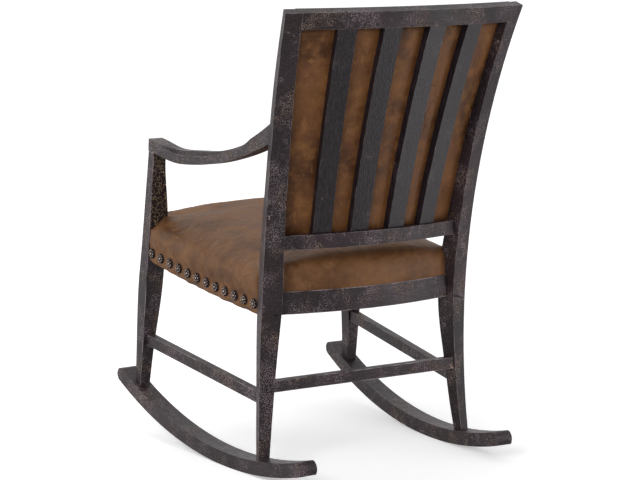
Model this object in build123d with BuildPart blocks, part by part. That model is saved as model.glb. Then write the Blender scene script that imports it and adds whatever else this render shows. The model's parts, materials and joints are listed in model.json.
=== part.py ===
"""Hickory rocking chair with a slatted, upholstered back and a nailed leather seat.

Millimetres, +Z up, front of the chair towards -Y, the sitter's left towards +X.
The origin is on the floor under the middle of the chair's bounding box. Most
profiles are drawn from the point where the rockers touch the floor, which lies
contact_y behind that origin, and the back is drawn about an upright back axis.
"""

from build123d import *
from math import atan2, cos, degrees, radians, sin, sqrt
import os

os.makedirs("parts", exist_ok=True)

# ---------------------------------------------------------------- driving sizes

# Stance: the rockers touch the floor this far behind the middle of the length
contact_y = 90.6

# Rockers: slices of a ring, struck about the rocking axis
rocker_radius = 1096.0
rocker_height = 33.0
rocker_width = 45.2
rocker_track = 281.6
rocker_toe_in = 2.74
rocker_front_angle = 27.0
rocker_back_top_y = 270.0
rocker_back_end = (286.0, 54.0)
rocker_back_bottom_y = 282.0

# Back: every bowed piece of it is turned about one upright axis ahead of the seat
back_axis_y = -640.0
post_waist_radius = 795.0
post_waist_height = 240.0
post_bow_radius = 2030.0

# Rear posts: outer back corner's angle about the back axis, then (height, width, depth)
post_turn = 18.5
post_foot_height = 38.0
post_foot_angle = 21.3
crown_height = 1055.6
post_crown_angle = 19.2
post_stations = (
    (15, 25, 21),
    (60, 27.5, 23.5),
    (120, 31, 27),
    (190, 35, 31),
    (300, 42, 42),
    (390, 47.5, 45),
    (480, 46.5, 43),
    (600, 44, 36),
    (860, 41, 33),
    (990, 40, 27.5),
    (1090, 38.5, 24),
)
crown_tilt = 23.5

# Front legs: outer face upright, back face leaning, then (height, depth, width)
leg_outer_x = 314.0
leg_lean = 0.1416
leg_foot_height = 120.0
leg_foot_y = -412.0
leg_stations = (
    (90, 23, 24.5),
    (115, 24.7, 25.7),
    (150, 27.1, 27.7),
    (200, 30.5, 31),
    (300, 37.5, 40.5),
    (400, 38.5, 47),
    (480, 34, 49.5),
    (560, 31.5, 47),
    (610, 29.5, 40.5),
    (680, 27, 33.5),
    (750, 25, 32),
)

# Arms: side outline from the front end to inside the post
arm_front_x = 313.8
arm_splay = 0.062
arm_width = 36.0
arm_top = ((-356, 729.5), (-321, 724), (-270, 714), (-178, 715.5), (-93, 722),
           (-3, 740), (68, 765), (150, 807), (172, 820))
arm_under = ((-358.5, 701), (-300, 690), (-243, 682), (-178, 683.7), (-115, 690),
             (-4, 712.5), (77, 736), (143, 761), (172, 773.5))
ledge_width = 14.5
ledge_run_in = ((-305, -1), (-282, 4), (-262, 12), (-240, ledge_width))
ledge_back_y = 80.0
ledge_line = ((-310, 715), (-255, 705.6), (-221, 702.5), (-178, 704), (-93, 712),
              (-11, 731), (37, 747), (75, 769))

# Rails of the back, as (radius of the back face, bottom, top, thickness)
top_rail_thickness = 23.0
top_rail_height = 41.0
lower_rail_radius = 803.0
lower_rail_bottom = 517.0
lower_rail_top = 550.0
lower_rail_thickness = 25.0
seat_rail_radius = 783.0
seat_rail_bottom = 367.0
seat_rail_top = 419.5
seat_rail_thickness = 24.0

# Slats: flatter than the posts, bowed about their own centre in the radial plane
slat_bow_centre = (3875.5, -182.5)
slat_bow_radius = 3164.6
slat_thickness = 19.0
slat_width = 45.0
slat_angles = (-10.35, -3.6, 3.6, 10.35)
slat_top = 1033.0
slat_tenon_length = 15.0

# Back panel, in front of the slats
panel_bottom = 524.0
panel_top = 1022.0
panel_half_angle = 17.0
leather_thickness = 2.5
board_thickness = 6.0
back_foam_thickness = 26.0

# Seat frame and stuffing
seat_front_half = 313.0
seat_back_half = 268.0
seat_front_y = -372.0
seat_back_y = 62.0
seat_edge = ((-372, 438), (-155, 397), (75, 367.5))
deck_front = (-404.0, 497.0)
deck_back = (143.0, 419.5)
side_rail_thickness = 22.0
front_rail_thickness = 22.0
front_rail_face_y = -399.8
seat_crest_height = 559.0
seat_crest_y = -400.0
seat_back_crest_height = 499.0
seat_back_crest_y = 90.0
seat_shoulder = 60.0
stump_notch_x = 264.0
webbing_thickness = 1.5
webbing_width = 50.0
long_straps = 5
long_strap_pitch = 82.0
cross_straps = 5
cross_strap_pitch = 92.0
dust_cover_thickness = 1.0
dust_cover_inset = 8.0

# Stretchers
side_stretcher_line = ((305, -400), (270, 75))
side_stretcher_rise = ((-384, 247), (41, 192))
side_stretcher_height = 27.0
side_stretcher_ends = (-401.0, 79.0)
tenon_reach = 11.0
stretcher_thickness = 20.0
back_stretcher_y = 110.0
back_stretcher_bottom = 190.6
back_stretcher_top = 218.0
back_stretcher_length = 528.0

# Corner blocks, glued into the corners of the seat frame
block_leg = 105.0
block_height = 30.0
front_block_bottom = 444.0
back_block_bottom = 378.0
back_block_corner_y = 122.0

# Fastenings
tenon_shoulder = 6.0
tenon_length = 20.0
side_tenon_height = 34.0
side_tenon_front_z = 466.0
side_tenon_back_z = 397.0
side_tenon_back_y = 82.0
leg_stub_size = (14.0, 12.0, 30.0)
arm_stub_size = (14.0, 24.0, 40.0)
arm_stub_place = (135.0, 781.0)
dowel_diameter = 12.0
dowel_length = 46.0
nail_diameter = 24.5
nail_rim = 1.2
nail_dome = 5.0
nail_dome_taper = 55.0
nail_shank_diameter = 2.6
nail_shank_length = 16.0
nail_height = 19.5
nail_pitch = 36.8
first_side_nail_y = -350.5
side_nails = 12
front_nails = 13
screw_diameter = 4.0
screw_head_diameter = 8.0
screw_head_height = 3.0
screw_length = 19.0
screw_heights = (650.0, 930.0)

# ---------------------------------------------------------------- frames and helpers

back_axis = Axis((0, contact_y + back_axis_y, 0), (0, 0, 1))

# Cutters and trimming shapes run this far, past anything that they trim
reach = 400.0


def level(height):
    """Level plane at a height: local x to the sitter's left, y rearwards."""
    return Plane(origin=(0, contact_y, height))


def side_plane(x=0.0):
    """Upright plane along the chair: local x rearwards, local y up."""
    return Plane(origin=(x, contact_y, 0), x_dir=(0, 1, 0), z_dir=(1, 0, 0))


def cross_plane(y):
    """Upright plane across the chair: local x to the sitter's left, local y up."""
    return Plane(origin=(0, contact_y + y, 0), x_dir=(1, 0, 0), z_dir=(0, -1, 0))


def radial_plane(angle):
    """Upright plane through the back axis: local x outwards, local y up."""
    turn = radians(angle)
    origin = (0, contact_y + back_axis_y, 0)
    return Plane(origin=origin, x_dir=(sin(turn), cos(turn), 0), z_dir=(cos(turn), -sin(turn), 0))


def rocker_plane():
    """Middle plane of the left rocker, turned in towards the rear."""
    turn = radians(rocker_toe_in)
    origin = (rocker_track, contact_y, 0)
    return Plane(origin=origin, x_dir=(-sin(turn), cos(turn), 0), z_dir=(cos(turn), sin(turn), 0))


def polygon(*points):
    """Straight-sided outline through the points, as a face in the sketch in hand."""
    with BuildLine() as outline:
        Polyline(*points, close=True)
    make_face(outline.line)


def write(block, name):
    """Label a finished piece and write it as a node."""
    block.part.label = name
    export_step(block.part, f"parts/{name}.step")


def write_pair(block, name):
    """Write a left-hand piece and its right-hand twin."""
    write(block, f"{name}_left")
    with BuildPart() as twin:
        mirror(block.part, about=Plane.YZ)
    write(twin, f"{name}_right")


def both_sides(block):
    """A piece of the left side together with its twin."""
    with BuildPart() as pair:
        add(block.part)
        mirror(block.part, about=Plane.YZ)
    return pair.part


# ---------------------------------------------------------------- rockers and feet


def arc_point(radius, angle):
    """Point on a circle about the rocking axis, in the rocker's plane."""
    turn = radians(angle)
    return (radius * sin(turn), rocker_radius - radius * cos(turn))


def arc_point_at(radius, y):
    """Lowest point of such a circle at a distance behind the contact."""
    return (y, rocker_radius - sqrt(radius**2 - y**2))


rocker_top_radius = rocker_radius - rocker_height
rocker_nose_angle = rocker_front_angle + degrees(rocker_height / 2 / rocker_top_radius)

with BuildPart() as rocker_blank:
    with BuildSketch(rocker_plane()):
        with BuildLine():
            back_top = arc_point_at(rocker_top_radius, rocker_back_top_y)
            back_bottom = arc_point_at(rocker_radius, rocker_back_bottom_y)
            front_top = arc_point(rocker_top_radius, -rocker_front_angle)
            front_bottom = arc_point(rocker_radius, -rocker_front_angle)
            nose = arc_point(rocker_radius - rocker_height / 2, -rocker_nose_angle)
            ThreePointArc(front_bottom, arc_point(rocker_radius, 0), back_bottom)
            ThreePointArc(back_bottom, rocker_back_end, back_top)
            ThreePointArc(back_top, arc_point(rocker_top_radius, 0), front_top)
            ThreePointArc(front_top, nose, front_bottom)
        make_face()
    extrude(amount=rocker_width / 2, both=True)

with BuildPart() as cope_cutter:
    with BuildSketch(rocker_plane()):
        with Locations((0, rocker_radius)):
            Circle(rocker_top_radius + 2 * rocker_height)
            Circle(rocker_top_radius, mode=Mode.SUBTRACT)
    extrude(amount=2 * rocker_width, both=True)


# ---------------------------------------------------------------- rear posts


def back_radius(height):
    """Distance of the posts' back face from the back axis."""
    rise = height - post_waist_height
    return post_waist_radius + post_bow_radius - sqrt(post_bow_radius**2 - rise**2)


def post_section(height, width, depth):
    """Level section of the left post, square to the bow of the back."""
    share = (height - post_foot_height) / (crown_height - post_foot_height)
    angle = radians(post_foot_angle + share * (post_crown_angle - post_foot_angle))
    radius = back_radius(height)
    turn = radians(post_turn)
    corner = Vector(radius * sin(angle), back_axis_y + radius * cos(angle))
    across = Vector(cos(turn), -sin(turn)) * width
    inwards = Vector(sin(turn), cos(turn)) * depth
    with BuildSketch(level(height)) as section:
        polygon(corner, corner - across, corner - across - inwards, corner - inwards)
    return section.sketch


crown_radius = back_radius(crown_height)

crown_sweep = 60.0

with BuildPart() as crown_cutter:
    with BuildSketch(radial_plane(crown_sweep / 2)) as crown_section:
        slope = Vector(-cos(radians(crown_tilt)), sin(radians(crown_tilt)))
        edge = Vector(crown_radius, crown_height)
        ahead = edge + slope * reach / 3
        behind = edge - slope * reach / 6
        polygon(behind, ahead, ahead + Vector(0, reach / 3), behind + Vector(0, reach / 2))
    revolve(crown_section.sketch, axis=back_axis, revolution_arc=crown_sweep)

with BuildPart() as post_blank:
    loft([post_section(*station) for station in post_stations])
    add(cope_cutter.part, mode=Mode.SUBTRACT)
    add(crown_cutter.part, mode=Mode.SUBTRACT)

both_posts = both_sides(post_blank)

# ---------------------------------------------------------------- front legs


def leg_back_y(height):
    """The front leg's leaning back face."""
    return leg_foot_y + leg_lean * (height - leg_foot_height)


def leg_section(height, depth, width):
    """Level section of the left front leg."""
    back = leg_back_y(height)
    inner = leg_outer_x - width
    with BuildSketch(level(height)) as section:
        polygon((inner, back), (leg_outer_x, back), (leg_outer_x, back - depth), (inner, back - depth))
    return section.sketch


def arm_side_outline():
    """Side outline of an arm, in an upright plane along the chair."""
    with BuildLine() as outline:
        Spline(*arm_top)
        Line(arm_top[-1], arm_under[-1])
        Spline(*arm_under)
        Line(arm_under[0], arm_top[0])
    make_face(outline.line)


with BuildPart() as arm_space:
    with BuildSketch(side_plane(leg_outer_x - 2 * arm_width)):
        arm_side_outline()
    extrude(amount=3 * arm_width)

with BuildPart() as leg_blank:
    loft([leg_section(*station) for station in leg_stations])
    add(cope_cutter.part, mode=Mode.SUBTRACT)
    add(arm_space.part, mode=Mode.SUBTRACT)
    split(bisect_by=level(arm_under[0][1]), keep=Keep.BOTTOM)

both_legs = both_sides(leg_blank)

# ---------------------------------------------------------------- arms


def arm_outer_x(y):
    """The arm's outer face in plan."""
    return arm_front_x - arm_splay * (y - arm_top[0][0])


arm_front_y = arm_under[0][0] - arm_width
arm_back_y = arm_top[-1][0] + arm_width
arm_low = arm_under[2][1] - arm_width
arm_high = arm_top[-1][1] + arm_width

with BuildPart() as ledge_cutter:
    with BuildSketch(level(arm_low)):
        with BuildLine():
            run_in = [(arm_outer_x(y) - inset, y) for y, inset in ledge_run_in]
            ledge_end = (arm_outer_x(ledge_back_y) - ledge_width, ledge_back_y)
            Spline(*run_in, tangents=((-0.15, 1), (-arm_splay, 1)))
            Polyline(run_in[-1], ledge_end, (reach, ledge_back_y), (reach, run_in[0][1]), run_in[0])
        make_face()
    extrude(amount=reach)
    with BuildSketch(side_plane(leg_outer_x - 2 * arm_width)):
        with BuildLine():
            Spline(*ledge_line)
            Polyline(ledge_line[-1], (ledge_line[-1][0], arm_high), (ledge_line[0][0], arm_high),
                     ledge_line[0])
        make_face()
    extrude(amount=3 * arm_width, mode=Mode.INTERSECT)

with BuildPart() as arm_blank:
    with BuildSketch(side_plane(leg_outer_x - 3 * arm_width)):
        arm_side_outline()
    extrude(amount=4 * arm_width)
    with BuildSketch(level(arm_low)):
        polygon((arm_outer_x(arm_front_y), arm_front_y), (arm_outer_x(arm_back_y), arm_back_y),
                 (arm_outer_x(arm_back_y) - arm_width, arm_back_y),
                 (arm_outer_x(arm_front_y) - arm_width, arm_front_y))
    extrude(amount=reach, mode=Mode.INTERSECT)
    add(ledge_cutter.part, mode=Mode.SUBTRACT)
    add(post_blank.part, mode=Mode.SUBTRACT)

both_arms = both_sides(arm_blank)

# Stub on the leg's top and stub on the arm's back end
with BuildPart() as leg_stub:
    stub_across, stub_deep, stub_length = leg_stub_size
    leg_depth, leg_width = leg_stations[-1][1:]
    stub_y = leg_back_y(arm_under[0][1]) - leg_depth / 2
    with BuildSketch(level(arm_under[1][1] - stub_length / 3)):
        with Locations((leg_outer_x - leg_width / 2, stub_y)):
            Rectangle(stub_across, stub_deep)
    extrude(amount=stub_length)

with BuildPart() as arm_stub:
    stub_across, stub_deep, stub_length = arm_stub_size
    stub_y, stub_z = arm_stub_place
    with BuildSketch(cross_plane(stub_y)):
        with Locations((arm_outer_x(stub_y) - arm_width / 2, stub_z)):
            Rectangle(stub_across, stub_deep)
    extrude(amount=-stub_length)


# ---------------------------------------------------------------- bowed rails of the back


def bowed(section, half_angle, mode=Mode.ADD):
    """Turn a radial section about the back axis, evenly to both sides."""
    revolve(section, axis=back_axis, revolution_arc=2 * half_angle, mode=mode)


def top_rail_section(shrink, half_angle):
    """Leaning section of the top rail, its back flush with the posts."""
    tilt = radians(crown_tilt)
    down = Vector(-sin(tilt), -cos(tilt))
    ahead = Vector(-cos(tilt), sin(tilt))
    corner = Vector(crown_radius, crown_height) + (down + ahead) * shrink
    drop = down * (top_rail_height - 2 * shrink)
    depth = ahead * (top_rail_thickness - 2 * shrink)
    with BuildSketch(radial_plane(half_angle)) as section:
        polygon(corner, corner + depth, corner + depth + drop, corner + drop)
    return section.sketch


def upright_rail_section(radius, bottom, top, thickness, shrink, half_angle):
    """Upright section of a bowed rail whose back face has the given radius."""
    with BuildSketch(radial_plane(half_angle)) as section:
        with Locations((radius - thickness / 2, (bottom + top) / 2)):
            Rectangle(thickness - 2 * shrink, top - bottom - 2 * shrink)
    return section.sketch


def lower_rail_section(shrink, half_angle):
    size = (lower_rail_radius, lower_rail_bottom, lower_rail_top, lower_rail_thickness)
    return upright_rail_section(*size, shrink, half_angle)


def seat_rail_section(shrink, half_angle):
    size = (seat_rail_radius, seat_rail_bottom, seat_rail_top, seat_rail_thickness)
    return upright_rail_section(*size, shrink, half_angle)


# Half the angle from the middle to the shoulders inside the posts, and to the tenons' ends
rail_half_angle = 17.6
tenon_half_angle = 18.2

with BuildPart() as top_rail_blank:
    bowed(top_rail_section(0, rail_half_angle), rail_half_angle)
    add(both_posts, mode=Mode.SUBTRACT)
with BuildPart() as top_rail_tenons:
    bowed(top_rail_section(tenon_shoulder, tenon_half_angle), tenon_half_angle)
with BuildPart() as lower_rail_blank:
    bowed(lower_rail_section(0, rail_half_angle), rail_half_angle)
    add(both_posts, mode=Mode.SUBTRACT)
with BuildPart() as lower_rail_tenons:
    bowed(lower_rail_section(tenon_shoulder, tenon_half_angle), tenon_half_angle)
with BuildPart() as seat_rail_blank:
    bowed(seat_rail_section(0, rail_half_angle), rail_half_angle)
    add(both_posts, mode=Mode.SUBTRACT)
with BuildPart() as seat_rail_tenons:
    bowed(seat_rail_section(tenon_shoulder, tenon_half_angle), tenon_half_angle)

# ---------------------------------------------------------------- slats and back panel


def bow_point(ahead, height):
    """Point of the slats' bow, a distance ahead of their back face."""
    centre_radius, centre_height = slat_bow_centre
    chord = sqrt((slat_bow_radius + ahead) ** 2 - (height - centre_height) ** 2)
    return (centre_radius - chord, height)


def bow_layer(near, far, bottom, top):
    """Section of a layer that follows the slats' bow between two depths."""
    middle = (bottom + top) / 2
    back = [bow_point(near, height) for height in (bottom, middle, top)]
    front = [bow_point(far, height) for height in (top, middle, bottom)]
    with BuildLine() as outline:
        ThreePointArc(*back)
        Line(back[-1], front[0])
        ThreePointArc(*front)
        Line(front[-1], back[0])
    make_face(outline.line)


def slat_body(angle):
    """One slat, running into the top rail, where the rail cuts its shoulder."""
    with BuildPart() as slat:
        with BuildSketch(radial_plane(angle)):
            bow_layer(0, slat_thickness, lower_rail_top, slat_top)
        extrude(amount=slat_width / 2, both=True)
        add(top_rail_blank.part, mode=Mode.SUBTRACT)
    return slat.part


def slat_tenons(angle):
    """The slat's core, which runs on into both rails."""
    with BuildPart() as core:
        with BuildSketch(radial_plane(angle)):
            bow_layer(tenon_shoulder, slat_thickness - tenon_shoulder + 1,
                      lower_rail_top - slat_tenon_length, slat_top - 3)
        extrude(amount=slat_width / 2 - tenon_shoulder, both=True)
    return core.part


def panel_layer(near, far, bottom, top, half_angle, mode=Mode.ADD):
    """A bowed layer of the back panel."""
    with BuildSketch(radial_plane(half_angle)) as section:
        bow_layer(near, far, bottom, top)
    bowed(section.sketch, half_angle, mode)


board_back = slat_thickness + leather_thickness
board_front = board_back + board_thickness
foam_front = board_front + back_foam_thickness
panel_front = foam_front + leather_thickness
hem = leather_thickness
hem_angle = degrees(leather_thickness / lower_rail_radius)

with BuildPart() as panel_screws:
    for slat_angle in slat_angles:
        for screw_height in screw_heights:
            start = bow_point(board_front - 2, screw_height)[0]
            turn = radians(slat_angle)
            outwards = Vector(sin(turn), cos(turn), 0)
            origin = Vector(0, contact_y + back_axis_y, screw_height) + outwards * start
            with BuildSketch(Plane(origin=origin, z_dir=outwards)) as screw_head:
                Circle(screw_head_diameter / 2)
            extrude(screw_head.sketch, amount=screw_head_height)
            with BuildSketch(Plane(origin=origin, z_dir=outwards)) as screw_shank:
                Circle(screw_diameter / 2)
            extrude(screw_shank.sketch, amount=screw_length)

with BuildPart() as outside_back_leather:
    panel_layer(slat_thickness, board_back, panel_bottom, panel_top, panel_half_angle)
    add(both_posts, mode=Mode.SUBTRACT)
    add(panel_screws.part, mode=Mode.SUBTRACT)

with BuildPart() as back_board:
    panel_layer(board_back, board_front, panel_bottom + hem, panel_top - hem, panel_half_angle - hem_angle)
    add(both_posts, mode=Mode.SUBTRACT)
    add(both_arms, mode=Mode.SUBTRACT)
    add(panel_screws.part, mode=Mode.SUBTRACT)

with BuildPart() as back_foam:
    panel_layer(board_front, foam_front, panel_bottom + hem, panel_top - hem, panel_half_angle - hem_angle)
    add(both_posts, mode=Mode.SUBTRACT)

with BuildPart() as inside_back_leather:
    panel_layer(board_back, panel_front, panel_bottom, panel_top, panel_half_angle)
    panel_layer(board_back, foam_front, panel_bottom + hem, panel_top - hem, panel_half_angle - hem_angle,
                Mode.SUBTRACT)
    add(both_posts, mode=Mode.SUBTRACT)
    add(both_arms, mode=Mode.SUBTRACT)

for block, name in (
    (outside_back_leather, "outside_back_leather"),
    (back_board, "back_board"),
    (back_foam, "back_foam"),
    (inside_back_leather, "inside_back_leather"),
    (panel_screws, "panel_screws"),
):
    write(block, name)

slat_cores = [slat_tenons(slat_angle) for slat_angle in slat_angles]
for number, slat_angle in enumerate(slat_angles, start=1):
    with BuildPart() as back_slat:
        add(slat_body(slat_angle))
        add(slat_cores[number - 1])
        add(panel_screws.part, mode=Mode.SUBTRACT)
    write(back_slat, f"back_slat_{number}")

with BuildPart() as top_rail:
    add(top_rail_blank.part)
    add(top_rail_tenons.part)
    add(slat_cores, mode=Mode.SUBTRACT)
write(top_rail, "top_rail")

with BuildPart() as lower_back_rail:
    add(lower_rail_blank.part)
    add(lower_rail_tenons.part)
    add(slat_cores, mode=Mode.SUBTRACT)
write(lower_back_rail, "lower_back_rail")

# ---------------------------------------------------------------- seat frame


def seat_half(y):
    """Half the seat's width over the leather."""
    share = (y - seat_front_y) / (seat_back_y - seat_front_y)
    return seat_front_half + share * (seat_back_half - seat_front_half)


def seat_outline(inset, front, back):
    """Tapering outline of the seat in plan, smaller by inset at its sides."""
    front_half = seat_half(front) - inset
    back_half = seat_half(back) - inset
    polygon((-front_half, front), (front_half, front), (back_half, back), (-back_half, back))


def frame_side(drop, rise):
    """Side view of the seat frame, from its sagging lower edge to the deck."""
    (y0, z0), (y1, z1), (y2, z2) = [(y, z - drop) for y, z in seat_edge]
    slope = (deck_back[1] - deck_front[1]) / (deck_back[0] - deck_front[0])
    deck = [(y, deck_front[1] + slope * (y - deck_front[0]) + rise) for y in (y2, y0)]
    with BuildLine() as outline:
        ThreePointArc((y0, z0), (y1, z1), (y2, z2))
        Polyline((y2, z2), *deck, (y0, z0))
    make_face(outline.line)


deck_slope = degrees(atan2(deck_back[1] - deck_front[1], deck_back[0] - deck_front[0]))
seat_floor = 330.0
seat_ceiling = 640.0
rail_inset = leather_thickness
rail_inner = rail_inset + side_rail_thickness


def side_rail_slab(outer, inner, drop, rise):
    """A slab along the left side of the seat frame between two insets."""
    with BuildPart() as slab:
        with BuildSketch(side_plane()):
            frame_side(drop, rise)
        extrude(amount=reach)
        with BuildSketch(level(seat_floor)):
            front, back = seat_edge[0][0], seat_edge[-1][0]
            polygon((seat_half(front) - inner, front), (seat_half(front) - outer, front),
                    (seat_half(back) - outer, back), (seat_half(back) - inner, back))
        extrude(amount=reach, mode=Mode.INTERSECT)
    return slab.part


with BuildPart() as side_rail_blank:
    add(side_rail_slab(rail_inset, rail_inner, 0, 0))
    add(leg_blank.part, mode=Mode.SUBTRACT)
    add(post_blank.part, mode=Mode.SUBTRACT)

with BuildPart() as side_rail_tenons:
    tenon_turn = degrees(atan2(seat_front_half - seat_back_half, seat_back_y - seat_front_y))
    side_tenon_front_y = leg_back_y(side_tenon_front_z) - tenon_length / 2
    for tenon_y, tenon_z in (
        (side_tenon_front_y, side_tenon_front_z),
        (side_tenon_back_y, side_tenon_back_z),
    ):
        tenon_x = seat_half(tenon_y) - (rail_inset + rail_inner) / 2
        with BuildSketch(level(tenon_z - side_tenon_height / 2)) as tenon:
            with Locations((tenon_x, tenon_y)):
                Rectangle(side_rail_thickness - 2 * tenon_shoulder, 2 * tenon_length, rotation=tenon_turn)
        extrude(tenon.sketch, amount=side_tenon_height)

leg_inner_x = leg_outer_x - leg_stations[4][2]
front_rail_bottom = seat_edge[0][1] + 5
front_rail_top = deck_front[1] - 6


def front_rail_section(shrink):
    """Section of the front rail, leaning with the legs."""
    bottom = front_rail_bottom + shrink
    top = front_rail_top - shrink
    faces = []
    for height in (bottom, top):
        face = front_rail_face_y + leg_lean * (height - front_rail_bottom)
        faces.append(((face + shrink, height), (face + front_rail_thickness - shrink, height)))
    polygon(faces[0][0], faces[0][1], faces[1][1], faces[1][0])


with BuildPart() as front_rail_blank:
    with BuildSketch(side_plane()):
        front_rail_section(0)
    extrude(amount=leg_inner_x + tenon_length, both=True)
    add(both_legs, mode=Mode.SUBTRACT)

with BuildPart() as front_rail_tenons:
    with BuildSketch(side_plane()):
        front_rail_section(tenon_shoulder)
    extrude(amount=leg_inner_x + tenon_length, both=True)


def corner_block(bottom, corner_y, along_y):
    """A glue block: a triangle in plan, trimmed by the pieces it is glued to."""
    with BuildPart() as block:
        corner_x = seat_half(corner_y) - rail_inset - side_rail_thickness / 2
        with BuildSketch(level(bottom)):
            polygon((corner_x, corner_y), (corner_x - block_leg, corner_y), (corner_x, corner_y + along_y))
        extrude(amount=block_height)
        for neighbour in (leg_blank, post_blank, side_rail_blank, front_rail_blank, seat_rail_blank):
            add(neighbour.part, mode=Mode.SUBTRACT)
    return block.part.solids().sort_by(SortBy.VOLUME)[-1]


with BuildPart() as front_block:
    add(corner_block(front_block_bottom, front_rail_face_y + front_rail_thickness, block_leg))
with BuildPart() as back_block:
    add(corner_block(back_block_bottom, back_block_corner_y, -block_leg))

# ---------------------------------------------------------------- seat stuffing and leather


def seat_section(y, inset):
    """Cross section of the stuffed seat: upright sides, round shoulders and a low crown."""
    share = (y - seat_crest_y) / (seat_back_crest_y - seat_crest_y)
    crest = seat_crest_height + share * (seat_back_crest_height - seat_crest_height) - inset
    half = seat_half(y) - inset
    spring = crest - seat_shoulder
    left = [(half, spring), (half - 10, spring + 30), (half - 45, crest - 10)]
    right = [(-x, z) for x, z in reversed(left)]
    with BuildSketch(cross_plane(y)) as section:
        with BuildLine() as outline:
            Spline(*left, tangents=((0, 1), (-1, 0.12)))
            ThreePointArc(left[-1], (0, crest), right[0])
            Spline(*right, tangents=((-1, -0.12), (0, -1)))
            Polyline(right[-1], (-half, seat_floor), (half, seat_floor), left[0])
        make_face(outline.line)
    return section.sketch


seat_back_radius = seat_rail_radius - 7
seat_reach = 460.0
nose_line = ((-404, 430), (-399, 468), (-415, 505), (-419, 530), (-404, 554), (-370, 568))
tail_line = ((0, 452), (-12, 485), (-45, 506), (-150, 560))


def cut_stump_notches(inset):
    """Cut the seat form back round the front legs, inset further in for its inside."""
    low, high = seat_floor - 10, seat_ceiling
    for side in (1, -1):
        with BuildSketch(side_plane(side * (stump_notch_x - inset))) as notch:
            polygon((leg_back_y(low) + inset, low), (leg_back_y(high) + inset, high),
                    (-seat_reach, high), (-seat_reach, low))
        extrude(notch.sketch, amount=side * reach, mode=Mode.SUBTRACT)


def seat_form(inset, notched=True):
    """The whole seat above its floor, made smaller all round by inset."""
    with BuildPart() as form:
        loft([seat_section(y, inset) for y in (seat_crest_y - 50, seat_back_crest_y + 60)])
        with BuildSketch(side_plane(-reach)):
            nose = [(y + inset, z - inset) for y, z in nose_line]
            with BuildLine() as outline:
                Spline(*nose)
                Polyline(nose[-1], (nose[-1][0], seat_ceiling), (seat_reach, seat_ceiling),
                         (seat_reach, seat_floor - 10), (nose[0][0], seat_floor - 10), nose[0])
            make_face(outline.line)
        extrude(amount=2 * reach, mode=Mode.INTERSECT)
        with BuildSketch(radial_plane(0)) as back_section:
            tail = [(seat_back_radius - inset + r, z - inset) for r, z in tail_line]
            with BuildLine() as outline:
                Spline(*tail, tangents=((0, 1), (-1, 0.35)))
                Polyline(tail[-1], (0, seat_ceiling + 60), (0, seat_floor - 10),
                         (tail[0][0], seat_floor - 10), tail[0])
            make_face(outline.line)
        revolve(back_section.sketch, axis=back_axis, mode=Mode.INTERSECT)
        if notched:
            cut_stump_notches(inset)
    return form.part


def deck_plane(rise):
    """Plane of the webbing, falling towards the back."""
    slope = radians(deck_slope)
    origin = (0, contact_y + deck_front[0], deck_front[1])
    deck = Plane(origin=origin, x_dir=(1, 0, 0), z_dir=(0, -sin(slope), cos(slope)))
    return deck.offset(rise)


def edge_height(y):
    """Height of the seat leather's lower edge along the sides."""
    (y0, z0), (y1, z1), (y2, z2) = seat_edge
    first = z0 * (y - y1) * (y - y2) / ((y0 - y1) * (y0 - y2))
    second = z1 * (y - y0) * (y - y2) / ((y1 - y0) * (y1 - y2))
    third = z2 * (y - y0) * (y - y1) / ((y2 - y0) * (y2 - y1))
    return first + second + third


def nail(place):
    """One upholstery nail: low domed head on the leather, shank into the rail."""
    with BuildSketch(place) as rim:
        Circle(nail_diameter / 2)
    extrude(rim.sketch, amount=nail_rim)
    with BuildSketch(place.offset(nail_rim)) as dome:
        Circle(nail_diameter / 2)
    extrude(dome.sketch, amount=nail_dome - nail_rim, taper=nail_dome_taper)
    with BuildSketch(place) as shank:
        Circle(nail_shank_diameter / 2)
    extrude(shank.sketch, amount=-nail_shank_length)


side_normal = (seat_back_y - seat_front_y, seat_front_half - seat_back_half, 0)
front_nail_height = seat_edge[0][1] + 3 + nail_height

with BuildPart() as side_nail_row:
    for count in range(side_nails):
        nail_y = first_side_nail_y + count * nail_pitch
        centre = (seat_half(nail_y), contact_y + nail_y, edge_height(nail_y) + nail_height)
        nail(Plane(origin=centre, z_dir=side_normal))

with BuildPart() as front_nail_row:
    for count in range(front_nails):
        nail_x = (count - (front_nails - 1) / 2) * nail_pitch
        centre = (nail_x, contact_y + nose_line[1][0] - 1, front_nail_height)
        nail(Plane(origin=centre, z_dir=(0, -1, leg_lean)))

both_nail_rows = both_sides(side_nail_row)
seat_inside = seat_form(leather_thickness)

with BuildPart() as frame_space:
    add(seat_form(leather_thickness, notched=False))
    split(bisect_by=deck_plane(0), keep=Keep.BOTTOM)

with BuildPart() as seat_leather:
    add(seat_form(0))
    with BuildSketch(side_plane(-reach)):
        (y0, z0), (y1, z1), (y2, z2) = seat_edge
        with BuildLine():
            ThreePointArc((y0, z0), (y1, z1), (y2, z2))
            Polyline((y2, z2), (seat_reach, z2), (seat_reach, seat_ceiling), (-seat_reach, seat_ceiling),
                     (-seat_reach, front_rail_bottom), (y0 - 4, front_rail_bottom), (y0, z0))
        make_face()
    extrude(amount=2 * reach, mode=Mode.INTERSECT)
    add(seat_inside, mode=Mode.SUBTRACT)
    for neighbour in (frame_space, seat_rail_blank, front_rail_blank, front_nail_row):
        add(neighbour.part, mode=Mode.SUBTRACT)
    for neighbour in (both_nail_rows, both_posts, both_legs):
        add(neighbour, mode=Mode.SUBTRACT)


deck_length = deck_back[0] - deck_front[0]

with BuildPart() as seat_foam:
    add(seat_inside)
    split(bisect_by=deck_plane(2 * webbing_thickness), keep=Keep.TOP)
    for neighbour in (seat_rail_blank.part, both_posts, both_legs):
        add(neighbour, mode=Mode.SUBTRACT)

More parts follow.
